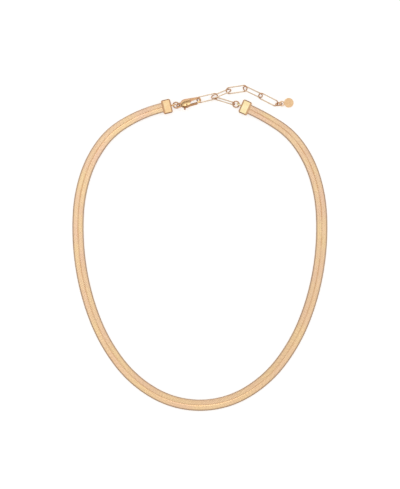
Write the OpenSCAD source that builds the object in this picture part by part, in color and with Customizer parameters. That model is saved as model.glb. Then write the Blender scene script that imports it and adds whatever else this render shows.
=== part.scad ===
/* [Herringbone band] */
// Length of the woven band between the mouths of its two end caps
band_length = 361; // [330:1:420]
// Width of the band
band_w = 5.2; // [4.4:0.1:6.4]
// How much narrower the band is at its caps
band_taper = 0.7; // [0:0.1:0.8]
// Length over which each end of the band narrows
taper_run = 38; // [20:1:50]
// Thickness of the band
band_t = 1.5; // [1.3:0.05:1.9]
// Depth of the groove between the two slanted halves of the weave
groove_depth = 0.16; // [0.08:0.02:0.3]
// Length over which each end of the band climbs from the table into its cap
climb_run = 14; // [8:1:24]

/* [End caps] */
// Length of an end cap along the band
cap_length = 4.3; // [3.8:0.1:6]
// Wall of a cap beside the edges of the band
cap_wall = 0.9; // [0.6:0.05:1.2]
// Wall of a cap over and under the band
cap_plate = 0.45; // [0.35:0.05:0.8]
// Depth that the band is pushed into a cap
cap_depth = 3; // [2:0.1:3.2]
// Bevel along the edges of a cap
cap_bevel = 0.4; // [0.15:0.05:0.5]
// Length of the longer bevel over and under the mouth of a cap
mouth_bevel = 0.9; // [0.4:0.1:1.2]
// Gap between the band and the inside of a cap
band_fit = 0.1; // [0.06:0.01:0.15]
// Hole of the wire eye soldered to the end of a cap
cap_eye_bore = 1.4; // [1.2:0.05:1.4]
// Wire of that eye
cap_eye_wire = 0.6; // [0.5:0.05:0.6]

/* [Jump rings] */
// Outer diameter of a jump ring
ring_d = 3.5; // [3.4:0.1:4.2]
// Wire of a jump ring
ring_wire = 0.65; // [0.5:0.05:0.7]

/* [Clasp] */
// Length of the clasp from the middle of its tail hole to the end of its nose
clasp_length = 10.5; // [9:0.1:11]
// Width of the clasp at its belly
clasp_w = 5.3; // [4.8:0.1:5.6]
// Thickness of the clasp at its belly
clasp_t = 2.4; // [2.2:0.05:2.8]
// Width of the claw around the nose
claw_w = 3.8; // [3.6:0.1:4.4]
// Thickness of the claw at the nose
claw_t = 1.4; // [1.2:0.05:1.6]
// Wall of the claw around its hollow
claw_wall = 0.8; // [0.6:0.05:0.9]
// Hole in the tail of the clasp
tail_bore = 1.5; // [1.4:0.05:1.7]
// Outer diameter of the tail
tail_d = 2.6; // [2.4:0.1:3]
// Thickness of the tail
tail_t = 0.7; // [0.6:0.05:0.9]
// Thickness of the lever
lever_t = 1.1; // [0.8:0.05:1.3]
// Width of the lever's gate arm
lever_w = 0.7; // [0.6:0.05:0.8]
// Diameter of the lever's pivot pin
pin_d = 0.6; // [0.5:0.05:0.7]
// Running gap between the lever and the clasp
lever_gap = 0.1; // [0.08:0.01:0.12]

/* [Extender] */
// Outer length of a paperclip link
link_length = 10.1; // [9.2:0.1:11]
// Outer width of a paperclip link
link_w = 3.4; // [3.3:0.05:3.8]
// Wire of a paperclip link
link_wire = 0.55; // [0.4:0.05:0.6]
// Diameter of the plain round tag
tag_d = 4.4; // [4:0.1:6]
// Thickness of the tag
tag_t = 0.7; // [0.5:0.05:0.9]
// Hole in the lug of the tag
lug_bore = 1.65; // [1.5:0.05:1.8]
// Metal of the lug around its hole
lug_wall = 0.45; // [0.35:0.05:0.6]

/* [Hidden] */
$fn = 48;

// Colours of the pale gold plating
band_gold = [0.92, 0.78, 0.61];
cap_gold = [0.98, 0.87, 0.67];
wire_gold = [0.84, 0.70, 0.52];

// The loop is a run of arcs from the middle of its front, the same on both sides up to the shoulders.
// Each row holds a length, as a share of the loop's scale, and the angle that it turns through
ARC_LENGTH = 0;
ARC_TURN = 1;
SIDE_ARCS = [[0.060, 29.5], [0.060, 23], [0.060, 15.5], [0.065, 12],
    [0.075, 13], [0.050, 15], [0.045, 18.5], [0.035, 20.5]];
// Angle that the last arc turns through on the right and on the left, and how much longer
// the left one is, because the closed clasp lies to the right of the middle
end_turn_right = 8.5;
end_turn_left = 19.5;
end_extra_left = 0.015;
// Rough share of the last arcs, from which the drop between the two caps is taken
end_share = 0.05;

// Way from each cap to its neighbours: headings of the jump rings and of the clasp,
// where 0 points right and 90 away from the wearer
left_ring_heading = -4;
right_ring_heading = 172;
clasp_heading = 15.5;
// Tilts about the line of the chain, so that each loop passes through the next
left_ring_roll = 28;
right_ring_roll = -20;
clasp_roll = -38;
// The right jump ring hangs a little lower than its cap's eye
right_ring_drop = 0.1;
right_ring_pitch = -4;

// Lie of the links: heading and roll of each, and how far its near end lies inside the link
// before it, as a share of a link's width. Link 1 runs from the right jump ring and pulls at one
// corner of link 2, the one that the clasp holds
HEADING = 0;
ROLL = 1;
LAP = 2;
held_link_heading = 13;
held_link_roll = 28;
// Rise of link 2's far end over its lowest place, where it rides on the links around it
held_link_rise = 0.75;
first_link_roll = -64;
first_lap = 0.68;
first_corner = -85;
first_pull_heading = 170;
TAIL_LINKS = [[22, -58, 0.84], [8.5, 14, 0.618], [-25.5, -45, 0.5], [-27, 28, 0.471]];
tag_ring_heading = 8;
tag_ring_roll = -62;
tag_pitch = -13;
// Share of its play that a link's end takes up in a jump ring, which leaves a gap between the wires
slack_share = 0.7;
// Share of its play in the cap's eye, and in the clasp's tail, by which the left jump ring hangs loose
loose_share = 0.3;
// Share of an eye's wire that is sunk in the cap that it is soldered to, and of the lug's wall
// that is one with the tag's disc
eye_sink = 0.6;
lug_sink = 0.4;
// How far a cut runs past the face that it starts from
past_face = 1;

end_w = band_w - band_taper;
cap_w = end_w + 2 * (band_fit + cap_wall);
cap_t = band_t + 2 * (band_fit + cap_plate);
cap_z = cap_t / 2;
corner_bevel = cap_bevel * 1.3;
cap_eye_x = cap_length + cap_eye_bore / 2 + cap_eye_wire * (1 - eye_sink);
ring_r = (ring_d - ring_wire) / 2;
link_run = link_length - link_wire;
link_half = (link_w - link_wire) / 2;
ring_play = ring_r - (ring_wire + link_wire) / 2;

// Clasp: places along its own length, from the middle of the tail hole
nose_x = clasp_length - claw_w / 2;
neck_x = tail_d * 0.65;
neck_w = tail_d * 0.6;
neck_t = tail_t * 1.5;
belly_x = tail_d / 2 + clasp_w * 0.35;
hollow_r = claw_w / 2 - claw_wall;
hollow_near_x = belly_x + clasp_w * 0.4 + hollow_r;
// The lever turns on a pin beside the belly, behind a rim of metal
hub_wall = 0.3;
hub_r = pin_d / 2 + lever_gap + hub_wall;
slot_rim = 0.25;
// Depth that each end of the pin is sunk in the body
pin_sink = 0.4;
pivot_x = belly_x + clasp_w * 0.06;
pivot_y = -(clasp_w / 2 - lever_w - slot_rim);
gate_tip_x = nose_x - 0.2;
// Thumb nub of the lever, behind the pin and just proud of the belly
nub_r = 0.45;
nub_x = pivot_x - 3 * nub_r;
nub_y = -clasp_w / 2 - 0.1;
// Play in the slot behind the hub and behind the nub
swing_room = 0.2;
// Height of the clasp's middle, with its belly resting on the table
table_gap = 0.02;
clasp_z = norm([clasp_w / 2 * sin(clasp_roll), clasp_t / 2 * cos(clasp_roll)]) + table_gap;

// Unit vector of a heading, and a step along it
function toward(heading) = [cos(heading), sin(heading)];
function ahead(point, run, heading) = point + run * toward(heading);

// An arc of a given length and turn, as the straight step from its start to its end
function chord(run, turn) = run * sin(turn / 2) * 360 / (turn * PI);
function along(station, run, turn) = [
    each ahead([station.x, station.y], chord(run, turn), station.z + turn / 2), station.z + turn];
function walk(station, arcs, i = 0) = i == len(arcs) ? station
    : walk(along(station, arcs[i][ARC_LENGTH], arcs[i][ARC_TURN]), arcs, i + 1);

// One side of the loop, for a scale and the length of its last arc
function side(scale_len, end_len, end_turn) = [
    for (arc = SIDE_ARCS) [arc[ARC_LENGTH] * scale_len, arc[ARC_TURN]], [end_len, end_turn]];
function sum_lengths(arcs, i = 0) = i == len(arcs) ? 0 : arcs[i][ARC_LENGTH] + sum_lengths(arcs, i + 1);
function mirrored(station) = [-station.x, station.y, 180 - station.z];

// Points of the chain between the caps, on from the left mouth: the middle of the cap's eye, the
// middle of the jump ring, the clasp's tail hole, the near and the far end of link 2, and the
// far end of link 1. The arcs alone fix the headings of the two mouths
mouth_heading_left = 180 - walk([0, 0, 0], side(1, 1, end_turn_left)).z;
mouth_heading_right = walk([0, 0, 0], side(1, 1, end_turn_right)).z;
function closing_points(mouth) =
    let (cap_eye = ahead(mouth, cap_eye_x, mouth_heading_left),
        ring = ahead(cap_eye, ring_r - loose_share * (cap_eye_bore - ring_wire) / 2, left_ring_heading),
        tail = ahead(ring, ring_r - loose_share * (tail_bore - ring_wire) / 2, left_ring_heading),
        held = ahead(tail, nose_x, clasp_heading),
        held_end = ahead(held, link_run, held_link_heading),
        round_end = ahead(held_end, -link_half, held_link_heading),
        first_start = ahead(round_end, link_half - first_lap, held_link_heading + first_corner))
    [cap_eye, ring, tail, held, held_end, first_start];
closing = closing_points([0, 0]);
// And back from the right mouth: the cap's eye, the jump ring and the near end of link 1
function right_reach(mouth) =
    let (cap_eye = ahead(mouth, cap_eye_x, mouth_heading_right),
        ring = ahead(cap_eye, ring_r, right_ring_heading),
        link_end = ahead(ring, ring_play * slack_share, first_pull_heading))
    [cap_eye, ring, link_end];
opening_right = right_reach([0, 0]);

// The last arcs take up what the rest of the loop leaves, so that the caps stand just as far
// apart as the clasp and the links reach: two linear conditions, on length and on width
unit_side = walk([0, 0, 0], [for (arc = SIDE_ARCS) arc]);
unit_length = 2 * sum_lengths(SIDE_ARCS);
unit_width = 2 * unit_side.x;
end_step_right = along(unit_side, 1, end_turn_right) - unit_side;
end_step_left = along(unit_side, 1, end_turn_left) - unit_side;
end_extra = end_extra_left * band_length;
cap_drop = end_step_left.y * (end_share * band_length + end_extra / 2)
    - end_step_right.y * (end_share * band_length - end_extra / 2);
first_drop = cap_drop + closing[5].y - opening_right[2].y;
mouth_gap = closing[5].x + sqrt(pow(link_run, 2) - pow(min(abs(first_drop), link_run / 2), 2))
    - opening_right[2].x;
// With e the mean last arc: scale * unit_length + 2 e = band_length, and
// scale * unit_width + e * (steps of both) + the left one's extra = mouth_gap
end_steps = end_step_right.x + end_step_left.x;
loop_scale = (mouth_gap - band_length * end_steps / 2
    - (end_step_left.x - end_step_right.x) * end_extra / 2)
    / (unit_width - unit_length * end_steps / 2);
end_len = (band_length - loop_scale * unit_length) / 2;
arcs_right = side(loop_scale, end_len - end_extra / 2, end_turn_right);
arcs_left = side(loop_scale, end_len + end_extra / 2, end_turn_left);
mouth_right = walk([0, 0, 0], arcs_right);
mouth_left = mirrored(walk([0, 0, 0], arcs_left));

// Places of everything that lies between the caps
left_points = closing_points([mouth_left.x, mouth_left.y]);
right_points = right_reach([mouth_right.x, mouth_right.y]);
first_link_run = right_points[2] - left_points[5];
first_link_heading = atan2(first_link_run.y, first_link_run.x);

// Near end of each link of the tail, from the far end of the one before it
function tail_start(i) =
    let (before = i == 0 ? left_points[4] : tail_end(i - 1),
        heading = i == 0 ? held_link_heading : TAIL_LINKS[i - 1][HEADING],
        half_lap = TAIL_LINKS[i][LAP] * link_w / 2)
    ahead(ahead(before, -half_lap, heading), -half_lap, TAIL_LINKS[i][HEADING]);
function tail_end(i) = ahead(tail_start(i), link_run, TAIL_LINKS[i][HEADING]);
tag_ring_at = ahead(tail_end(len(TAIL_LINKS) - 1), ring_play * slack_share, tag_ring_heading);
lug_r = lug_bore / 2 + lug_wall;

// The table lies under the whole piece, and its middle is the middle of everything that lies on it
top_y = tail_end(1).y + link_half + link_wire / 2;
middle_y = (top_y - band_w / 2) / 2;
module in_frame() {
    translate([0, -middle_y, 0]) children();
}

// A piece at a point, turned to its heading, pitched up along it and rolled about it
module lay(point, z, heading, pitch = 0, roll = 0) {
    in_frame() translate([point.x, point.y, z]) rotate([0, 0, heading]) rotate([0, -pitch, 0])
        rotate([roll, 0, 0]) children();
}

module wire_ring(outer_d, wire) {
    rotate_extrude() translate([(outer_d - wire) / 2, 0]) circle(d = wire, $fn = 24);
}

// Stations along the band, one for about every 4 degrees of turn
station_turn = 4;
function stations(arcs) = [
    for (i = [0 : len(arcs) - 1])
        let (from = walk([0, 0, 0], [for (k = [0 : 1 : i - 1]) arcs[k]]), n = ceil(arcs[i][ARC_TURN] / station_turn))
            for (k = [1 : n]) along(from, arcs[i][ARC_LENGTH] * k / n, arcs[i][ARC_TURN] * k / n)];
function backwards(list) = [for (i = [len(list) - 1 : -1 : 0]) list[i]];
inside_left = ahead([mouth_left.x, mouth_left.y], cap_depth - band_fit, mouth_heading_left);
inside_right = ahead([mouth_right.x, mouth_right.y], cap_depth - band_fit, mouth_heading_right);
// Each is x, y and heading, in one direction all the way round
BAND_PATH = [
    [inside_left.x, inside_left.y, mouth_heading_left - 180],
    for (s = backwards(stations(arcs_left))) [-s.x, s.y, -s.z],
    [0, 0, 0],
    for (s = stations(arcs_right)) s,
    [inside_right.x, inside_right.y, mouth_heading_right]];

// How far a station of the band is from a mouth, as a share of a run: 1 at the mouth and in its cap, 0
// past the run, and smooth between
function smooth(t) = t * t * (3 - 2 * t);
function near_mouth(i, run) = i == 0 || i == len(BAND_PATH) - 1 ? 1
    : let (gap = min([for (mouth = [mouth_left, mouth_right])
        norm([BAND_PATH[i].x - mouth.x, BAND_PATH[i].y - mouth.y])]))
    gap > run ? 0 : smooth(1 - gap / run);
// Height of the band's middle: it lies on the table and climbs into its caps, narrowing on the way
function band_z(i) = band_t / 2 + (cap_z - band_t / 2) * near_mouth(i, climb_run);
function half_band(i) = (band_w - band_taper * near_mouth(i, taper_run)) / 2;

// One quarter of the band's section, from beside the groove to the edge:
// shares of half the width and of half the thickness
QUARTER = [[0.05, 0.97], [0.45, 1], [0.82, 0.93], [0.95, 0.62]];
function quarter(side_sign, top_sign) = [for (q = QUARTER) [side_sign * q.x, top_sign * q.y * band_t / 2]];
groove_z = band_t / 2 - groove_depth;
// The whole section: shares of half the width, and heights
BAND_SECTION = [
    [0, groove_z], each quarter(1, 1), [1, 0], each backwards(quarter(1, -1)),
    [0, -groove_z], each quarter(-1, -1), [-1, 0], each backwards(quarter(-1, 1))];

// The band lies in one loop, with its slanted halves side by side
module herringbone_band() {
    rings = len(BAND_PATH);
    n = len(BAND_SECTION);
    points = [
        for (i = [0 : rings - 1])
            let (s = BAND_PATH[i], edge = half_band(i) * toward(s.z - 90))
                for (q = BAND_SECTION) [s.x + q.x * edge.x, s.y + q.x * edge.y, band_z(i) + q.y]];
    faces = [
        [for (k = [0 : n - 1]) k],
        for (i = [0 : rings - 2]) for (k = [0 : n - 1])
            let (a = i * n + k, b = i * n + (k + 1) % n)
                each [[a, a + n, b], [b, a + n, b + n]],
        [for (k = [n - 1 : -1 : 0]) (rings - 1) * n + k]];
    color(band_gold) in_frame() polyhedron(points = points, faces = faces, convexity = 10);
}

// A rectangle with cut corners, those at its start cut for a run of their own
function bevelled(length, width, bevel, start_run) = [
    [start_run, -width / 2], [length - bevel, -width / 2], [length, bevel - width / 2],
    [length, width / 2 - bevel], [length - bevel, width / 2], [start_run, width / 2],
    [0, width / 2 - bevel], [0, bevel - width / 2]];

// A cap is a bevelled box, open at the mouth, with a standing wire eye on its far end
module end_cap(mouth, heading) {
    color(cap_gold) lay([mouth.x, mouth.y], cap_z, heading) {
        difference() {
            intersection() {
                translate([0, 0, -cap_t / 2]) linear_extrude(cap_t)
                    polygon(bevelled(cap_length, cap_w, corner_bevel, corner_bevel));
                rotate([90, 0, 0]) translate([0, 0, -cap_w / 2]) linear_extrude(cap_w)
                    polygon(bevelled(cap_length, cap_t, cap_bevel, mouth_bevel));
                rotate([90, 0, 90]) translate([-cap_w / 2, 0, 0]) linear_extrude(cap_length)
                    polygon(bevelled(cap_w, cap_t, cap_bevel, cap_bevel));
            }
            translate([-past_face, -end_w / 2 - band_fit, -band_t / 2 - band_fit])
                cube([past_face + cap_depth, end_w + 2 * band_fit, band_t + 2 * band_fit]);
        }
        translate([cap_eye_x, 0, 0]) rotate([90, 0, 0])
            wire_ring(cap_eye_bore + 2 * cap_eye_wire, cap_eye_wire);
    }
}
module end_cap_left() {
    end_cap(mouth_left, mouth_heading_left);
}
module end_cap_right() {
    end_cap(mouth_right, mouth_heading_right);
}

module jump_ring_left() {
    color(wire_gold) lay(left_points[1], (cap_z + clasp_z) / 2, left_ring_heading,
        asin((clasp_z - cap_z) / ring_d), left_ring_roll) wire_ring(ring_d, ring_wire);
}
module jump_ring_right() {
    color(wire_gold) lay(right_points[1], cap_z - right_ring_drop, right_ring_heading,
        right_ring_pitch, right_ring_roll) wire_ring(ring_d, ring_wire);
}

// A ball squashed to the clasp's flat form
module pebble(x, width, thickness) {
    translate([x, 0, 0]) scale([1, 1, thickness / width]) sphere(d = width, $fn = 32);
}
module in_clasp() {
    lay(left_points[2], clasp_z, clasp_heading, 0, clasp_roll) children();
}
// A slot across the clasp from its outer edge in to y, as high as the lever and its gaps
module lever_slot(from_x, to_x, y) {
    translate([from_x, -clasp_w, -lever_t / 2 - lever_gap])
        cube([to_x - from_x, y + clasp_w, lever_t + 2 * lever_gap]);
}

// The cast body: tail with its hole, belly with a slot for the lever, and the claw
module clasp_body() {
    color(cap_gold) in_clasp() {
        difference() {
            union() {
                hull() {
                    pebble(neck_x, neck_w, neck_t);
                    pebble(belly_x, clasp_w, clasp_t);
                    pebble(nose_x, claw_w, claw_t);
                }
                translate([0, 0, -tail_t / 2]) cylinder(d = tail_d, h = tail_t);
            }
            cylinder(d = tail_bore, h = 2 * clasp_t, center = true);
            hull() for (x = [hollow_near_x, nose_x])
                translate([x, 0, 0]) cylinder(r = hollow_r, h = 2 * clasp_t, center = true, $fn = 32);
            // The claw is open on the lever's side, where the gate closes it
            translate([hollow_near_x - hollow_r, -clasp_w, -clasp_t])
                cube([gate_tip_x + lever_gap - hollow_near_x + hollow_r, clasp_w, 2 * clasp_t]);
            lever_slot(pivot_x - hub_r - swing_room, hollow_near_x, -lever_gap);
            lever_slot(nub_x - nub_r - swing_room, pivot_x, pivot_y + hub_r);
        }
        translate([pivot_x, pivot_y, 0]) cylinder(d = pin_d, h = lever_t + 2 * (lever_gap + pin_sink), center = true);
    }
}

// The sprung lever: a hub on the pin, the gate arm that closes the claw, and a thumb nub
module clasp_lever() {
    color(cap_gold) in_clasp() difference() {
        union() {
            translate([pivot_x, pivot_y, 0]) cylinder(r = hub_r, h = lever_t, center = true);
            translate([nub_x - nub_r, pivot_y - lever_w / 2, -lever_t / 2])
                cube([gate_tip_x - nub_x + nub_r, lever_w, lever_t]);
            translate([nub_x - nub_r, nub_y, -lever_t / 2])
                cube([2 * nub_r, pivot_y - nub_y, lever_t]);
            translate([nub_x, nub_y, 0]) cylinder(r = nub_r, h = lever_t, center = true);
        }
        translate([pivot_x, pivot_y, 0]) cylinder(d = pin_d + 2 * lever_gap, h = clasp_t, center = true);
    }
}

// A paperclip link: two straight rails joined by round ends, with its near end bar at the origin
module paperclip_link() {
    rail = link_run - 2 * link_half;
    translate([link_run / 2, 0, 0]) {
        for (s = [-1, 1]) {
            translate([-rail / 2, s * link_half, 0]) rotate([0, 90, 0]) cylinder(d = link_wire, h = rail, $fn = 24);
            translate([s * rail / 2, 0, 0]) rotate([0, 0, s * 90 - 180]) rotate_extrude(angle = 180)
                translate([link_half, 0]) circle(d = link_wire, $fn = 24);
        }
    }
}
// Height at which a rolled link rests with its lower rail on the table
function rest_z(roll) = link_wire / 2 + link_half * abs(sin(roll));

module link_1() {
    color(wire_gold) lay(right_points[2], rest_z(first_link_roll), first_link_heading + 180, 0, -first_link_roll)
        paperclip_link();
}
module link_2() {
    far_z = rest_z(held_link_roll) + held_link_rise;
    color(wire_gold) lay(left_points[3], clasp_z, held_link_heading,
        -asin((clasp_z - far_z) / link_run), held_link_roll) paperclip_link();
}
// The links of the tail alternate, so each is held up a wire's thickness by its neighbours
module tail_link(i) {
    lie = TAIL_LINKS[i];
    color(wire_gold) lay(tail_start(i), max(rest_z(lie[ROLL]), 2 * link_wire), lie[HEADING], 0, lie[ROLL])
        paperclip_link();
}
module link_3() {
    tail_link(0);
}
module link_4() {
    tail_link(1);
}
module link_5() {
    tail_link(2);
}
module link_6() {
    tail_link(3);
}

tag_ring_z = ring_wire / 2 + ring_r * abs(sin(tag_ring_roll));
tag_x = lug_bore / 2 + tag_d / 2 + lug_wall * (1 - lug_sink);
module tag_ring() {
    color(wire_gold) lay(tag_ring_at, tag_ring_z, tag_ring_heading, 0, tag_ring_roll)
        wire_ring(ring_d, ring_wire);
}
// The tag is a plain disc with a drilled lug, which hangs on its ring with its far edge on the table
module tag() {
    color(cap_gold) lay(ahead(tag_ring_at, ring_r, tag_ring_heading), tag_ring_z, tag_ring_heading, tag_pitch)
        difference() {
            union() {
                translate([tag_x, 0, -tag_t / 2]) cylinder(d = tag_d, h = tag_t);
                translate([0, 0, -tag_t / 2]) cylinder(r = lug_r, h = tag_t);
            }
            cylinder(d = lug_bore, h = 3 * tag_t, center = true);
        }
}

herringbone_band();
end_cap_left();
end_cap_right();
jump_ring_left();
jump_ring_right();
clasp_body();
clasp_lever();
link_1();
link_2();
link_3();
link_4();
link_5();
link_6();
tag_ring();
tag();
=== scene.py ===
import math

import bmesh
import bpy
import numpy as np
from mathutils import Matrix, Vector


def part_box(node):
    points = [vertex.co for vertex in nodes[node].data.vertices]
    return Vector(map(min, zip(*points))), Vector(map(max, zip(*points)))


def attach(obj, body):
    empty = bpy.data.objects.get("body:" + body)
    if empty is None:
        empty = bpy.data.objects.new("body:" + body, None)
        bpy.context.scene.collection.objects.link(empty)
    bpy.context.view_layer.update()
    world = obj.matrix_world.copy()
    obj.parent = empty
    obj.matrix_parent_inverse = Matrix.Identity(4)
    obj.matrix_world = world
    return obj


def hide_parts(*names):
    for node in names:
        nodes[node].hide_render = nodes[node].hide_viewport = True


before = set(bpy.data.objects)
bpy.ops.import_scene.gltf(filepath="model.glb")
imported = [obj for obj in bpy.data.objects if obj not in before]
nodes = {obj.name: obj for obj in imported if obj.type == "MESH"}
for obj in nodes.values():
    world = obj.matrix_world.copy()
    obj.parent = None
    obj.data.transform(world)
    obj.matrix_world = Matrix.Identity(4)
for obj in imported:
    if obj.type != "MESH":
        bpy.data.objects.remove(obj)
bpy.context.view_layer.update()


# Herringbone band. The real one is woven of flat brass wires, each bent to a V and wrapped round the
# edges of the band, so that it lies in two slanted halves with a crease between them. It is rolled
# flat, plated pale gold, and pushed into a cap at each end.

class Socket:
    """An output of a node, with plain arithmetic on it."""

    def __init__(self, tree, out):
        self.tree = tree
        self.out = out

    def __add__(self, other):
        return self.tree.maths("ADD", self, other)

    def __sub__(self, other):
        return self.tree.maths("SUBTRACT", self, other)

    def __rsub__(self, other):
        return self.tree.maths("SUBTRACT", other, self)

    def __mul__(self, other):
        return self.tree.maths("MULTIPLY", self, other)

    def __truediv__(self, other):
        return self.tree.maths("DIVIDE", self, other)

    __radd__ = __add__


class Tree:
    """A tree of geometry or shader nodes."""

    def __init__(self, node_tree):
        self.nodes = node_tree.nodes
        self.links = node_tree.links

    def node(self, kind, settings=None, inputs=None, output=0):
        """Adds a node, sets it, fills its sockets with values or links, and gives one output."""
        made = self.nodes.new(kind)
        for name, value in (settings or {}).items():
            setattr(made, name, value)
        for key, value in (inputs or {}).items():
            if isinstance(value, Socket):
                self.links.new(value.out, made.inputs[key])
            else:
                made.inputs[key].default_value = value
        return Socket(self, made.outputs[output])

    def maths(self, operation, first, second=0.0):
        return self.node("ShaderNodeMath", {"operation": operation}, {0: first, 1: second})

    def joined(self, x, y, z):
        return self.node("ShaderNodeCombineXYZ", inputs={"X": x, "Y": y, "Z": z})

    def parted(self, vector, axis):
        return self.node("ShaderNodeSeparateXYZ", inputs={"Vector": vector}, output="XYZ".index(axis))

    def vectors(self, operation, first, second):
        return self.node("ShaderNodeVectorMath", {"operation": operation}, {0: first, 1: second})

    def blend(self, factor, first, second):
        """Mixes two colours."""
        return self.node("ShaderNodeMix", {"data_type": "RGBA"}, {0: factor, 6: first, 7: second}, 2)

    def noise(self, place, scale, detail):
        return self.node("ShaderNodeTexNoise", inputs={
            "Vector": place, "Scale": scale, "Detail": detail})

    def spread(self, value, low, high, to_low=0.0, to_high=1.0, kind="SMOOTHSTEP"):
        """Maps a value from one range to another, with soft ends unless the kind is LINEAR."""
        return self.node("ShaderNodeMapRange", {"interpolation_type": kind},
                         {0: value, 1: low, 2: high, 3: to_low, 4: to_high})


def colour(red, green, blue):
    """A colour given as a picture shows it, 0 to 255, made linear."""
    return tuple(((c / 255 + 0.055) / 1.055) ** 2.4 for c in (red, green, blue)) + (1.0,)


class Finish(Tree):
    """A plated metal: its tree, with a Principled shader at the end."""

    def __init__(self, name):
        self.material = bpy.data.materials.new(name)
        self.material.use_nodes = True
        super().__init__(self.material.node_tree)
        self.shader = next(n for n in self.nodes if n.type == "BSDF_PRINCIPLED")
        self.shader.inputs["Metallic"].default_value = 1.0
        self.place = self.node("ShaderNodeTexCoord", output=3)

    def set(self, name, value):
        self.links.new(value.out, self.shader.inputs[name])

    def bump(self, height, distance):
        self.set("Normal", self.node("ShaderNodeBump", inputs={
            "Height": height, "Distance": distance}))


class Workshop(Tree):
    """A tree of geometry nodes with named inputs."""

    def __init__(self, name, **kinds):
        self.group = bpy.data.node_groups.new(name, "GeometryNodeTree")
        super().__init__(self.group)
        panel = self.group.interface
        panel.new_socket(name="Geometry", in_out="INPUT", socket_type="NodeSocketGeometry")
        panel.new_socket(name="Geometry", in_out="OUTPUT", socket_type="NodeSocketGeometry")
        self.keys = {}
        for label, kind in kinds.items():
            socket = panel.new_socket(name=label, in_out="INPUT", socket_type="NodeSocket" + kind)
            self.keys[label] = socket.identifier
        self.entry = self.nodes.new("NodeGroupInput")

    def given(self, label):
        return Socket(self, self.entry.outputs[label])

    def attribute(self, geometry, kind, domain, name, value):
        return self.node("GeometryNodeStoreNamedAttribute", {"data_type": kind, "domain": domain},
                         {"Geometry": geometry, "Name": name, "Value": value})

    def finish(self, geometry):
        """Realizes what is instanced, gives it its material, and ends the tree."""
        whole = self.node("GeometryNodeRealizeInstances", inputs={0: geometry})
        dressed = self.node("GeometryNodeSetMaterial", inputs={
            "Geometry": whole, "Material": self.given("Material")})
        self.links.new(dressed.out, self.nodes.new("NodeGroupOutput").inputs[0])

    def make(self, piece, **values):
        """Runs the tree on an object and leaves its result as the object's plain mesh."""
        modifier = piece.modifiers.new("shape", "NODES")
        modifier.node_group = self.group
        for label, value in values.items():
            modifier[self.keys[label]] = value
        settle(piece)


def new_object(name, data=None):
    piece = bpy.data.objects.new(name, data or bpy.data.meshes.new(name))
    bpy.context.scene.collection.objects.link(piece)
    return piece


def settle(piece):
    """Turns what the modifiers make into the piece's own mesh."""
    bpy.context.view_layer.update()
    graph = bpy.context.evaluated_depsgraph_get()
    mesh = bpy.data.meshes.new_from_object(piece.evaluated_get(graph), preserve_all_data_layers=True,
                                           depsgraph=graph)
    piece.modifiers.clear()
    piece.data = mesh


def mesh_from(work, name):
    """Ends the work on a mesh and gives it as plain data."""
    mesh = bpy.data.meshes.new(name)
    work.to_mesh(mesh)
    work.free()
    return mesh


def belongs(piece, node, body="root"):
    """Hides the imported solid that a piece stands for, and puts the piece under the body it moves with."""
    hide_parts(node)
    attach(piece, body)


mm = 0.001
band_w = 5.2 * mm
band_t = 1.5 * mm
band_length = 361 * mm
# Each end of the band is drawn narrower on its way to its cap
band_taper = 0.7 * mm
taper_run = 38 * mm
# How deep each end goes into its cap, and how it climbs there to the cap's middle
cap_depth = 2.9 * mm
climb_run = 14 * mm
cap_z = 1.3 * mm
whole_length = band_length + 2 * cap_depth
# The band's route: arcs from the middle of its front, each a share of the loop's scale and a turn in
# degrees, the same on both sides, and a last arc of its own length on each side
loop_scale = 361.57 * mm
side_arcs = ((0.060, 29.5), (0.060, 23), (0.060, 15.5), (0.065, 12),
             (0.075, 13), (0.050, 15), (0.045, 18.5), (0.035, 20.5))
last_arc_right = (15.09 * mm, 8.5)
last_arc_left = (20.50 * mm, 19.5)
front_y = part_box("herringbone_band")[0].y + band_w / 2


def side_stations(last_arc):
    """Places and headings along one side of the loop, from the middle of the front to the mouth."""
    place, heading = Vector((0, front_y, 0)), 0.0
    stations = []
    for run, turn in [(share * loop_scale, turn) for share, turn in side_arcs] + [last_arc]:
        half = math.radians(turn) / 2
        chord = run * math.sin(half) / half
        place = place + chord * Vector((math.cos(heading + half), math.sin(heading + half), 0))
        heading += 2 * half
        stations.append((place, heading))
    return stations


def inside_cap(station):
    place, heading = station
    return place + cap_depth * Vector((math.cos(heading), math.sin(heading), 0)), heading


right_side = side_stations(last_arc_right)
left_side = side_stations(last_arc_left)
right_side.append(inside_cap(right_side[-1]))
left_side.append(inside_cap(left_side[-1]))
mirrored = [(Vector((-place.x, place.y, 0)), -heading) for place, heading in reversed(left_side)]
route = mirrored + [(Vector((0, front_y, 0)), 0.0)] + right_side


def route_curve(stations):
    """One Bezier through the stations, each stretch a true arc or a straight."""
    curve = bpy.data.curves.new("route", "CURVE")
    curve.dimensions = "3D"
    curve.resolution_u = 64
    spline = curve.splines.new("BEZIER")
    spline.bezier_points.add(len(stations) - 1)
    for i, (place, heading) in enumerate(stations):
        point = spline.bezier_points[i]
        point.co = place
        point.handle_left_type = point.handle_right_type = "FREE"
        along = Vector((math.cos(heading), math.sin(heading), 0))
        for side, other in ((-1, i - 1), (1, i + 1)):
            reach = 0.0
            if 0 <= other < len(stations):
                span = (stations[other][0] - place).length
                turn = abs(stations[other][1] - heading)
                reach = span / 3
                # The handle with which a Bezier follows an arc
                if turn > 1e-4:
                    reach = 4 / 3 * math.tan(turn / 4) * span / (2 * math.sin(turn / 2))
            handle = place + side * reach * along
            if side < 0:
                point.handle_left = handle
            else:
                point.handle_right = handle
    return curve


crease_depth = 0.12 * mm
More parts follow.
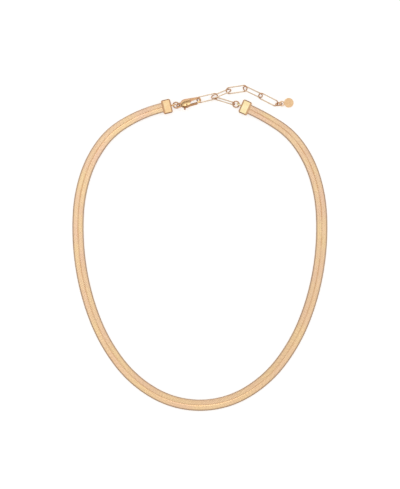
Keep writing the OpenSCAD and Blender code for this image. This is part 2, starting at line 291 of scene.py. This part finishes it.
# Shares of half the band's width and thickness, from the crease to the edge and on under the band. Its
# face is flat from one of these points to the next
half_outline = ((0.07, 0.95), (0.17, 1.0), (0.75, 0.99), (0.88, 0.87), (0.965, 0.61), (1.0, 0.22),
                (0.99, -0.45), (0.90, -0.90), (0.45, -1.0))
flat_from = 1
flat_to = 2
pitch = 0.80 * mm
wire_w = 0.76 * mm
wire_t = 0.30 * mm
# How far a wire's V reaches along the band, how deep its back edge dips under the next wire, and how
# far its front edge leans back
apex = 2.15 * mm
shingle = 0.055 * mm
front_lean = 0.04 * mm
fold_angle = math.radians(40)


def band_outline():
    """The band's section as one loop of points: across and up."""
    right = [(x * band_w / 2, z * band_t / 2) for x, z in half_outline]
    crease = band_t / 2 - crease_depth
    return [(0.0, crease)] + right + [(0.0, -crease)] + [(-y, z) for y, z in reversed(right)]


def woven_wire():
    """One flat wire, bent to its V and closed round the band, lying across the X axis."""
    outline = band_outline()
    count = len(outline)
    # Across the wire: how far along the band, and how deep below the band's face
    section = ((-wire_w / 2, wire_t), (-wire_w / 2, shingle),
               (wire_w / 2 - front_lean, 0), (wire_w / 2, wire_t))
    work = bmesh.new()
    weave = work.verts.layers.float_vector.new("weave")
    rings = []
    for i, (y, z) in enumerate(outline):
        before, after = outline[i - 1], outline[(i + 1) % count]
        inward = Vector((before[1] - after[1], after[0] - before[0])).normalized()
        if inward.dot(Vector((-y, -z))) < 0:
            inward = -inward
        lean = apex * (1 - abs(y) / (band_w / 2))
        ring = []
        for run, depth in section:
            vert = work.verts.new((run + lean, y + inward.x * depth, z + inward.y * depth))
            vert[weave] = (y / (band_w / 2), depth / wire_t, 0)
            ring.append(vert)
        rings.append(ring)
    size = len(section)
    for i in range(count):
        ring, ahead = rings[i], rings[(i + 1) % count]
        for k in range(size):
            beside = (k + 1) % size
            face = work.faces.new((ring[k], ahead[k], ahead[beside], ring[beside]))
            face.smooth = True
    bmesh.ops.recalc_face_normals(work, faces=work.faces)
    for edge in work.edges:
        edge.smooth = edge.calc_face_angle(0.0) < fold_angle
    # The wire's face stays flat between the crease and the fold, so both ends of that stretch are sharp
    for place in (flat_from, flat_to):
        share = half_outline[place][0]
        for edge in work.edges:
            if all(abs(abs(vert[weave].x) - share) < 1e-4 for vert in edge.verts):
                edge.smooth = False
    return mesh_from(work, "woven wire")


# Lays the wires out in a straight row, gives each its own tone, and bends the row along the route
weaving = Workshop("weave along a route", Route="Object", Wires="Int", Pitch="Float", Start="Float",
                   Length="Float", Climb="Float", Rise="Float", Low="Float", TaperRun="Float",
                   EndShare="Float", Seed="Int", Material="Material")
wires = weaving.node("GeometryNodeMeshLine", inputs={
    "Count": weaving.given("Wires"),
    "Start Location": weaving.joined(weaving.given("Start"), 0.0, 0.0),
    "Offset": weaving.joined(weaving.given("Pitch"), 0.0, 0.0)})
laid = weaving.node("GeometryNodeInstanceOnPoints", inputs={
    "Points": wires, "Instance": weaving.given("Geometry")})
tone = weaving.node("FunctionNodeRandomValue", {"data_type": "FLOAT"}, {8: weaving.given("Seed")}, 1)
laid = weaving.attribute(laid, "FLOAT", "INSTANCE", "wire_tone", tone)
laid = weaving.node("GeometryNodeRealizeInstances", inputs={0: laid})
flat = weaving.node("GeometryNodeInputPosition")
along, across, up = (weaving.parted(flat, axis) for axis in "XYZ")
path = weaving.node("GeometryNodeObjectInfo", inputs={"Object": weaving.given("Route")}, output=4)
laid = weaving.attribute(laid, "FLOAT", "POINT", "along", along)
spot = weaving.node("GeometryNodeSampleCurve", {"mode": "LENGTH"}, {"Curves": path, "Length": along}, 1)
tangent = Socket(weaving, spot.out.node.outputs["Tangent"])
sideways = weaving.vectors("CROSS_PRODUCT", (0, 0, 1), tangent)
to_mouth = weaving.maths("MINIMUM", along, weaving.given("Length") - along)
gap = to_mouth - cap_depth
rise = weaving.spread(gap, weaving.given("Climb"), 0.0, 0.0, weaving.given("Rise"))
narrowed = weaving.spread(gap, weaving.given("TaperRun"), 0.0, 1.0, weaving.given("EndShare"))
sideways = weaving.node("ShaderNodeVectorMath", {"operation": "SCALE"}, {0: sideways, 3: across * narrowed})
height = weaving.joined(0.0, 0.0, up + rise + weaving.given("Low"))
bent = weaving.vectors("ADD", weaving.vectors("ADD", spot, sideways), height)
laid = weaving.node("GeometryNodeSetPosition", inputs={"Geometry": laid, "Position": bent})
weaving.finish(laid)

rose_gold = colour(245, 208, 178)
yellow_gold = colour(250, 219, 172)
streak_gold = colour(240, 198, 150)
front_shade_gold = colour(238, 199, 150)
crease_shade_gold = colour(222, 166, 112)
gap_shade_brown = colour(170, 142, 120)
# How fast each pattern changes: along the band by the metre, and across it by half its width
drift_rate = 60
half_apart = 3.0
streak_rate = 90
streaks_across = 6.0
crease_rate = 110.0
brush_rate = 900
brush_depth = 0.01 * mm
grain_rate = 3000.0
# How far from the middle of the front the painted shade of the front begins, and where it is full
front_shade_start = 130 * mm
front_shade_full = 20 * mm
# Where across a half, from the crease at 0 to the edge at 1, each painted shade begins and is full
crease_start = 0.17
crease_full = 0.03
edge_start = 0.62
edge_full = 0.92
# How much of its colour each tone and each painted shade brings
streak_share = 0.5
front_shade_share = 0.35
crease_share = 0.6
gap_share = 0.6
edge_share = 0.70
# Each wire's own tone and the plating's grain make it a little dimmer or brighter
tone_share = 0.5
grain_share = 0.3
dimmest = 0.995
brightest = 1.035
# Roughness of the plating, and what the gaps and edges add to it
finest = 0.24
coarsest = 0.36
added_rough = 0.15

band_gold = Finish("woven pale gold")
weave_place = band_gold.node("ShaderNodeAttribute", {"attribute_name": "weave"}, output=1)
side_share = band_gold.parted(weave_place, "X")
depth_share = band_gold.parted(weave_place, "Y")
run_along = band_gold.node("ShaderNodeAttribute", {"attribute_name": "along"}, output=2)
wire_tone = band_gold.node("ShaderNodeAttribute", {"attribute_name": "wire_tone"}, output=2)
# Broad drifts of hue, each half of the band with its own
half_sign = band_gold.maths("SIGN", side_share)
drift_place = band_gold.joined(run_along * drift_rate, half_sign * half_apart, 0.0)
drift = band_gold.spread(band_gold.noise(drift_place, 1.0, 2.0), 0.35, 0.65)
streak_place = band_gold.joined(run_along * streak_rate, side_share * streaks_across, 5.0)
streak = band_gold.spread(band_gold.noise(streak_place, 1.0, 3.0), 0.45, 0.75)
warm = band_gold.blend(drift, rose_gold, yellow_gold)
warm = band_gold.blend(streak * streak_share, warm, streak_gold)
# Painted shade: the gold turns deeper and more orange towards the middle of the front
from_front = band_gold.maths("ABSOLUTE", run_along - whole_length / 2)
painted_shade = band_gold.spread(from_front, front_shade_start, front_shade_full)
warm = band_gold.blend(painted_shade * front_shade_share, warm, front_shade_gold)
fine = band_gold.noise(band_gold.place, grain_rate, 3.0)
own_tone = wire_tone * tone_share + fine * grain_share
brightness = band_gold.spread(own_tone, 0.0, tone_share + grain_share, dimmest, brightest, "LINEAR")
warm = band_gold.node("ShaderNodeMix", {"data_type": "RGBA", "blend_type": "MULTIPLY"}, {
    0: 1.0, 6: warm, 7: band_gold.joined(brightness, brightness, brightness)}, 2)
# Painted shade: darker between the wires, in the crease and down the edges
from_crease = band_gold.maths("ABSOLUTE", side_share)
crease_shade = band_gold.spread(from_crease, crease_start, crease_full, 0.0, crease_share)
# How strongly the painted crease shade shows changes along the band, and it fades by half where the front's
# painted shade is full
pressed = band_gold.spread(band_gold.noise(run_along, crease_rate, 2.0), 0.35, 0.62, 0.35, 1.0)
warm = band_gold.blend(crease_shade * pressed * (1.0 - painted_shade * 0.5), warm, crease_shade_gold)
gap_shade = band_gold.spread(depth_share, 0.2, 0.9, 0.0, gap_share)
edge_shade = band_gold.spread(from_crease, edge_start, edge_full, 0.0, edge_share)
gap_and_edge_shade = band_gold.maths("MAXIMUM", gap_shade, edge_shade)
band_gold.set("Base Color", band_gold.blend(gap_and_edge_shade, warm, gap_shade_brown))
band_gold.set("Roughness", band_gold.spread(fine, 0.3, 0.7, finest, coarsest) + gap_and_edge_shade * added_rough)
brush_place = band_gold.joined(run_along * brush_rate, side_share * 8, 0.0)
band_gold.bump(band_gold.noise(brush_place, 4.0, 3.0), brush_depth)

route_object = new_object("route", route_curve(route))
# As many wires as the length holds, with what is left over shared between the ends
room = whole_length - apex - wire_w
wire_count = int(room / pitch) + 1
slack = room - (wire_count - 1) * pitch
band = new_object("woven_band", woven_wire())
weaving.make(band, Route=route_object, Wires=wire_count, Pitch=pitch, Start=slack / 2 + wire_w / 2,
             Length=whole_length, Climb=climb_run, Rise=cap_z - band_t / 2, Low=band_t / 2,
             TaperRun=taper_run, EndShare=1 - band_taper / band_w, Seed=7, Material=band_gold.material)
bpy.data.objects.remove(route_object)
belongs(band, "herringbone_band")


# End caps. Each is a small box of sheet brass with bevelled edges and a pocket, into which the band is
# pushed and pressed tight. A standing wire eye is soldered to its far end, and the whole is polished
# and plated.

cap_length = 4.3 * mm
cap_wall = 0.9 * mm
cap_plate = 0.45 * mm
# The bevels are a little flatter than 45 degrees, and longest over and under the mouth
bevel_rise = 0.35 * mm
bevel_run = 0.44 * mm
far_run = 0.62 * mm
mouth_run = 0.9 * mm
corner_bevel = 0.5 * mm
band_fit = 0.1 * mm
pocket_depth = 3.0 * mm
mouth_inset = 0.04 * mm
edge_round = 0.05 * mm
cap_eye_d = 2.6 * mm
cap_eye_wire = 0.6 * mm
# The eye's wire is sunk in the cap's end by this share of it, and its middle lies so far from the mouth
eye_sunk = 0.6
cap_eye_x = cap_length + cap_eye_d / 2 - eye_sunk * cap_eye_wire
solder_radii = (0.22 * mm, 0.42 * mm, 0.5 * mm)
# In every smooth finish: how much finer the polishing marks are than the clouds, how much rougher the
# roughest of them is, and how much of its painted-shade colour the most shaded place takes
mark_fineness = 9
mark_roughness = 1.7
most_shaded = 0.9


def plated(name, light, shade, rough, cloud_scale, mark_depth=0.003 * mm, painted_shade=None, where="slope",
           shade_from=0.01, shade_to=0.07):
    """Smooth plating: faint clouds of hue, painted shade in another tone where an attribute says, and
    polishing marks that turn the shine a little."""
    gold = Finish(name)
    cloud = gold.spread(gold.noise(gold.place, cloud_scale, 2.0), 0.35, 0.65)
    marks = gold.noise(gold.place, cloud_scale * mark_fineness, 4.0)
    skin = gold.blend(cloud, light, shade)
    if painted_shade:
        shade_mask = gold.node("ShaderNodeAttribute", {"attribute_name": where}, output=2)
        skin = gold.blend(gold.spread(shade_mask, shade_from, shade_to, 0.0, most_shaded), skin, painted_shade)
    gold.set("Base Color", skin)
    gold.set("Roughness", gold.spread(marks, 0.3, 0.7, rough, rough * mark_roughness))
    gold.bump(marks, mark_depth)
    return gold.material


def mark_slopes(mesh):
    """Keeps at each corner of a face how far the surface leans from level: 0 level, 1 upright."""
    slope = mesh.attributes.new("slope", "FLOAT", "CORNER")
    slope.data.foreach_set("value", [1 - abs(normal.vector.z) for normal in mesh.corner_normals])


# Light and shade of each cap's coat: the right one's is painted paler, painted light for the brighter light
# it catches. Their bevels take one brown of painted shade, the dark reflection that leaning faces show
cap_coats_painted_lit = {"left": (colour(251, 221, 172), colour(248, 210, 160)),
             "right": (colour(254, 240, 192), colour(251, 228, 176))}
cap_bevel_shade = colour(206, 160, 120)
# A wire loop's points round each bend and in all, the sides of its wire, and the unit in which its
# points keep how far they lie past the straight rails
bend_points = 16
loop_points = 132
wire_sides = 14
bend_unit = 0.4 * mm
# Just under half, because a rounding of half the width would leave two points in one place
nearly_half = 0.4999

# Draws a loop with two straight rails and round ends, and sweeps round wire along it
bending = Workshop("bend a wire", Length="Float", Width="Float", Wire="Float", Joint="Float",
                   Seam="Float", Material="Material")
loop = bending.node("GeometryNodeCurvePrimitiveQuadrilateral", inputs={
    "Width": bending.given("Length"), "Height": bending.given("Width")})
loop = bending.node("GeometryNodeFilletCurve", {"mode": "POLY"}, {
    "Curve": loop, 1: bend_points, "Radius": bending.given("Width") * nearly_half})
loop = bending.node("GeometryNodeResampleCurve", {"mode": "COUNT"}, {"Curve": loop, "Count": loop_points})
from_seam = bending.maths("ABSOLUTE", bending.node("GeometryNodeSplineParameter") - 0.5)
thickness = bending.spread(from_seam, 0.0, bending.given("Seam"), 1.0 + bending.given("Joint"), 1.0)
round_wire = bending.node("GeometryNodeCurvePrimitiveCircle", inputs={
    "Resolution": wire_sides, "Radius": bending.given("Wire") / 2})
drawn = bending.node("GeometryNodeCurveToMesh", inputs={
    "Curve": loop, "Profile Curve": round_wire, "Scale": thickness})
# Above 0 in the round ends and below 0 on the rails
from_middle = bending.maths("ABSOLUTE", bending.parted(bending.node("GeometryNodeInputPosition"), "X"))
rail_end = (bending.given("Length") - bending.given("Width")) / 2
drawn = bending.attribute(drawn, "FLOAT", "POINT", "bend", (from_middle - rail_end) / bend_unit)
bending.finish(drawn)


def wire_loop(name, length, width, wire, material=None, joint=0.0, seam=0.01):
    """A closed loop of round wire of an outer length and width, lying flat round the origin. Its wire is
    thicker or thinner by a share where it joins. A loop that is soldered on has no material of its own."""
    piece = new_object(name)
    values = {"Material": material} if material else {}
    bending.make(piece, Length=length - wire, Width=width - wire, Wire=wire, Joint=joint, Seam=seam,
                 **values)
    return piece


def cap_mesh():
    """The cap's box from its mouth along X: a block with its edges cut off, and its pocket."""
    pocket = Vector((0, (band_w - band_taper) / 2 + band_fit, band_t / 2 + band_fit))
    half = Vector((cap_length / 2, pocket.y + cap_wall, pocket.z + cap_plate))
    middle = Vector((cap_length / 2, 0, 0))
    work = bmesh.new()
    bmesh.ops.create_cube(work, size=2.0, matrix=Matrix.LocRotScale(middle, None, half))
    # Each cut goes through one point, square to one way: over and under the mouth, over and under the
    # far end, along the four sides and down the four corners
    cuts = []
    for end in (-1, 1):
        top = half.z * end
        cuts += [((mouth_run, 0, top), (-bevel_rise, 0, end * mouth_run)),
                 ((cap_length - far_run, 0, top), (bevel_rise, 0, end * far_run))]
        for side in (-1, 1):
            corner_x = middle.x + (half.x - corner_bevel) * end
            cuts += [((0, (half.y - bevel_run) * side, top), (0, side * bevel_rise, end * bevel_run)),
                     ((corner_x, half.y * side, 0), (end, side, 0))]
    for point, way in cuts:
        cut = bmesh.ops.bisect_plane(work, geom=work.verts[:] + work.edges[:] + work.faces[:],
                                     plane_co=point, plane_no=Vector(way).normalized(), clear_outer=True)
        rim = [edge for edge in cut["geom_cut"] if isinstance(edge, bmesh.types.BMEdge)]
        bmesh.ops.contextual_create(work, geom=rim)
    mouth = min(work.faces, key=lambda face: face.calc_center_median().x)
    bmesh.ops.inset_individual(work, faces=[mouth], thickness=mouth_inset)
    for vert in mouth.verts:
        vert.co.y = math.copysign(pocket.y, vert.co.y)
        vert.co.z = math.copysign(pocket.z, vert.co.z)
    floor_of_pocket = bmesh.ops.extrude_discrete_faces(work, faces=[mouth])["faces"][0]
    for vert in floor_of_pocket.verts:
        vert.co.x += pocket_depth
    bmesh.ops.recalc_face_normals(work, faces=work.faces)
    return mesh_from(work, "cap box")


def solder_drop(middle, radii):
    """A drop of solder, an egg of three radii."""
    work = bmesh.new()
    bmesh.ops.create_uvsphere(work, u_segments=24, v_segments=16, radius=1.0,
                              matrix=Matrix.LocRotScale(Vector(middle), None, Vector(radii)))
    for face in work.faces:
        face.smooth = True
    return mesh_from(work, "solder")


def round_edges(piece, width, angle):
    rounding = piece.modifiers.new("rounding", "BEVEL")
    rounding.width = width
    rounding.segments = 3
    rounding.limit_method = "ANGLE"
    rounding.angle_limit = math.radians(angle)
    rounding.harden_normals = True
    for polygon in piece.data.polygons:
        polygon.use_smooth = True
    settle(piece)


def coat(piece, material):
    """Gives a whole piece one material."""
    piece.data.materials.clear()
    piece.data.materials.append(material)


def joined_piece(name, parts, material, place):
    """One piece of several meshes, put in its place."""
    work = bmesh.new()
    for mesh in parts:
        work.from_mesh(mesh)
    bmesh.ops.transform(work, matrix=place, verts=work.verts)
    piece = new_object(name, mesh_from(work, name))
    coat(piece, material)
    return piece


box = new_object("box", cap_mesh())
round_edges(box, edge_round, angle=20)
mark_slopes(box.data)
eye = wire_loop("eye", cap_eye_d, cap_eye_d, cap_eye_wire)
eye.data.transform(Matrix.Translation((cap_eye_x, 0, 0)) @ Matrix.Rotation(math.radians(90), 4, "X"))
drop = solder_drop((cap_length, 0, 0), solder_radii)
mouths = {"right": right_side[-2], "left": (mirrored[1][0], mirrored[1][1] + math.pi)}
for side, (place, heading) in mouths.items():
    lie = Matrix.Translation(place + Vector((0, 0, cap_z))) @ Matrix.Rotation(heading, 4, "Z")
    light, shade = cap_coats_painted_lit[side]
    cap_gold = plated(side + " cap's pale gold", light, shade, rough=0.15, cloud_scale=350.0,
                      mark_depth=0.0015 * mm, painted_shade=cap_bevel_shade)
    cap = joined_piece("cap_" + side, (box.data, eye.data, drop), cap_gold, lie)
    belongs(cap, "end_cap_" + side)
bpy.data.objects.remove(box)
bpy.data.objects.remove(eye)


# Jump rings and the extender's paperclip links. All are drawn round wire. A jump ring is bent round and
# closed with a hairline seam; a link is pressed to two straight rails with round ends, and the place
# where its wire meets is soldered.

# Painted shade: the wire darkens towards the round ends of a link, where rings and links hang in one
# another; a ring darkens all round, least across its middle
wire_gold = plated("drawn pale gold", colour(234, 213, 186), colour(220, 195, 166),
                   rough=0.2, cloud_scale=600.0,
                   painted_shade=colour(202, 158, 120), where="bend", shade_from=-1.5, shade_to=1.5)
ring_d = 3.5 * mm
ring_wire = 0.65 * mm
link_length = 10.1 * mm
link_w = 3.4 * mm
link_wire = 0.55 * mm
link_count = 6


def lie_of(node):
    """Where a ring or link lies: its middle, the way its length runs and its normal."""
    corners = np.array([vert.co[:] for vert in nodes[node].data.vertices])
    # Each corner once, to a tenth of a micrometre
    corners = np.unique(corners.round(7), axis=0)
    middle = corners.mean(0)
    ways = np.linalg.eigh(np.cov((corners - middle).T))[1]
    along, normal = Vector(ways[:, 2]), Vector(ways[:, 0])
    if along.x < 0:
        along = -along
    if normal.z < 0:
        normal = -normal
    lie = Matrix((along, normal.cross(along), normal)).transposed().to_4x4()
    return Matrix.Translation(Vector(middle)) @ lie


for node in ("jump_ring_left", "jump_ring_right", "tag_ring"):
    ring = wire_loop(node + "_wire", ring_d, ring_d, ring_wire, wire_gold, joint=-0.3, seam=0.012)
    ring.data.transform(lie_of(node))
    belongs(ring, node)
for number in range(link_count):
    node = "link_" + str(number + 1)
    link = wire_loop(node + "_wire", link_length, link_w, link_wire, wire_gold, joint=0.12, seam=0.02)
    link.data.transform(lie_of(node))
    belongs(link, node)


# Lobster clasp. The body is cast in one with its pin, tumbled until its edges are soft, polished and
# plated. The lever sits in the body's slot on that pin, and a hidden spring holds its arm shut.

def cast(name, node, grain, melt):
    """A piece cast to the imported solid's shape: remade in small cells, its edges melted round."""
    piece = new_object(name, nodes[node].data.copy())
    work = bmesh.new()
    work.from_mesh(piece.data)
    bmesh.ops.remove_doubles(work, verts=work.verts, dist=0.001 * mm)
    bmesh.ops.recalc_face_normals(work, faces=work.faces)
    work.to_mesh(piece.data)
    work.free()
    # In millimetres while it is remade, because the cells are smaller than the tool's least
    piece.data.transform(Matrix.Scale(1 / mm, 4))
    cells = piece.modifiers.new("cells", "REMESH")
    cells.mode = "VOXEL"
    cells.voxel_size = grain / mm
    cells.use_smooth_shade = True
    tumbling = piece.modifiers.new("tumbling", "SMOOTH")
    tumbling.factor = 0.5
    tumbling.iterations = melt
    settle(piece)
    piece.data.transform(Matrix.Scale(mm, 4))
    mark_slopes(piece.data)
    return piece


# The lean at which the clasp's surface begins to show its painted shade, the dark reflection a leaning face
# catches, and where it shows it in full
lean_from = 0.12
lean_to = 0.6
clasp_gold = plated("tumbled pale gold", colour(248, 218, 166), colour(242, 206, 152),
                    rough=0.17, cloud_scale=350.0, mark_depth=0.001 * mm,
                    painted_shade=colour(186, 124, 92), shade_from=lean_from, shade_to=lean_to)
clasp = cast("clasp_cast", "clasp_body", grain=0.06 * mm, melt=8)
coat(clasp, clasp_gold)
belongs(clasp, "clasp_body")
# The lever's coat is painted darker than the body's, painted shade for its low tip, and darker still on its
# slopes
lever_shaded_gold = plated("pressed gold in painted shade", colour(226, 182, 134), colour(206, 160, 114),
                    rough=0.22, cloud_scale=350.0, mark_depth=0.001 * mm,
                    painted_shade=colour(150, 98, 70), shade_from=lean_from, shade_to=lean_to)
lever = cast("lever_cast", "clasp_lever", grain=0.045 * mm, melt=6)
coat(lever, lever_shaded_gold)
belongs(lever, "clasp_lever", "clasp_lever")


# Tag. A plain round disc stamped from thick sheet with its lug, pierced for the ring, its rim tumbled
# soft and its faces brushed before plating.

tag_gold = plated("brushed pale gold", colour(240, 204, 160), colour(230, 190, 144),
                  rough=0.26, cloud_scale=500.0)
tag = cast("tag_disc", "tag", grain=0.05 * mm, melt=8)
coat(tag, tag_gold)
belongs(tag, "tag")


# The studio. A pale seamless floor that glows a little, a bright soft sky that dims towards the
# horizon, one faint broad lamp, and the camera straight overhead, far enough to flatten the view.

floor_grey = 0.6
floor_glow = 0.58
# In metres, as the camera's height is
floor_half = 12.0
floor_paint = bpy.data.materials.new("pale floor")
floor_paint.use_nodes = True
floor_shader = next(n for n in floor_paint.node_tree.nodes if n.type == "BSDF_PRINCIPLED")
floor_shader.inputs["Base Color"].default_value = (floor_grey, floor_grey, floor_grey, 1)
floor_shader.inputs["Emission Color"].default_value = (1, 1, 1, 1)
floor_shader.inputs["Emission Strength"].default_value = floor_glow
floor_shader.inputs["Roughness"].default_value = 0.9
floor_shader.inputs["Specular IOR Level"].default_value = 0.1
floor_mesh = bpy.data.meshes.new("floor")
floor_corners = [(x * floor_half, y * floor_half, 0) for x, y in ((-1, -1), (1, -1), (1, 1), (-1, 1))]
floor_mesh.from_pydata(floor_corners, [], [(0, 1, 2, 3)])
floor_mesh.materials.append(floor_paint)
floor = new_object("floor", floor_mesh)

horizon_colour = (1.0, 0.74, 0.62, 1)
overhead_colour = (1.0, 0.995, 0.985, 1)
# The sky's brightness low down, and the heights between which it grows to 1
low_light = 0.32
dim_below = 0.2
full_above = 0.72
# A little brighter behind and to the right
more_behind = 0.14
more_right = 0.04
sky = bpy.data.worlds.new("soft sky")
bpy.context.scene.world = sky
sky.use_nodes = True
air = Tree(sky.node_tree)
way = air.node("ShaderNodeTexCoord", output=0)
level = air.spread(air.parted(way, "Z"), dim_below, full_above, low_light, 1.0)
side_light = air.parted(way, "Y") * more_behind + air.parted(way, "X") * more_right + 1.0
background = next(n for n in sky.node_tree.nodes if n.type == "BACKGROUND")
sky_colour = air.blend(level, horizon_colour, overhead_colour)
air.links.new(sky_colour.out, background.inputs["Color"])
air.links.new((level * side_light).out, background.inputs["Strength"])

lamp_power = 0.15
lamp_breadth = math.radians(30)
lamp_lean = (math.radians(-36), math.radians(-16), 0)
lamp_data = bpy.data.lights.new("lamp", "SUN")
lamp_data.energy = lamp_power
lamp_data.angle = lamp_breadth
lamp = bpy.data.objects.new("lamp", lamp_data)
lamp.rotation_euler = lamp_lean
bpy.context.scene.collection.objects.link(lamp)

# What the picture's height shows of the table, from how high, and where it is centred
shown_height = 224.94 * mm
camera_height = 1.1
camera_x = 0.06 * mm
camera_y = 1.43 * mm
sensor = 36
camera_data = bpy.data.cameras.new("camera")
camera_data.sensor_fit = "AUTO"
camera_data.sensor_width = sensor
camera_data.lens = sensor * camera_height / shown_height
camera_data.clip_start = 0.05
camera_data.clip_end = 40
camera = bpy.data.objects.new("camera", camera_data)
camera.location = (camera_x, camera_y, camera_height)
bpy.context.scene.collection.objects.link(camera)
bpy.context.scene.camera = camera
bpy.context.scene.view_settings.view_transform = "Standard"
